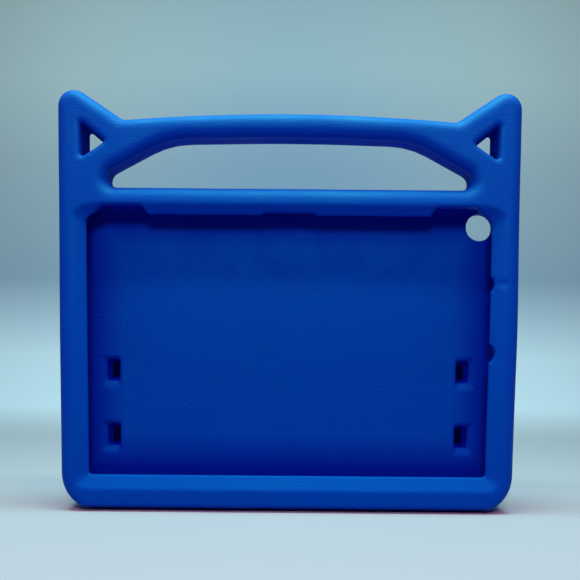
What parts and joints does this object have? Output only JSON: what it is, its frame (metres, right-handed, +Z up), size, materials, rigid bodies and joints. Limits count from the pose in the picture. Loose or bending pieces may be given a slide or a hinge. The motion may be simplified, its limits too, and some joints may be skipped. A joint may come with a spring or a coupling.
{
  "type": "kids tablet case",
  "caption": "Soft foam case for a 10-inch tablet, with a carry handle between two pointed ears and a lipped pocket.",
  "frame": {"origin": "centre of the bottom edge on which the case stands, halfway through its depth", "axes": "+X to the right seen from the open front, front towards -Y, +Z up towards the handle"},
  "size_m": [0.2724, 0.022, 0.2485],
  "materials": {
    "foam": "matte moulded foam"
  },
  "bodies": {
    "root": {"case_shell": "foam"}
  },
  "joints": []
}
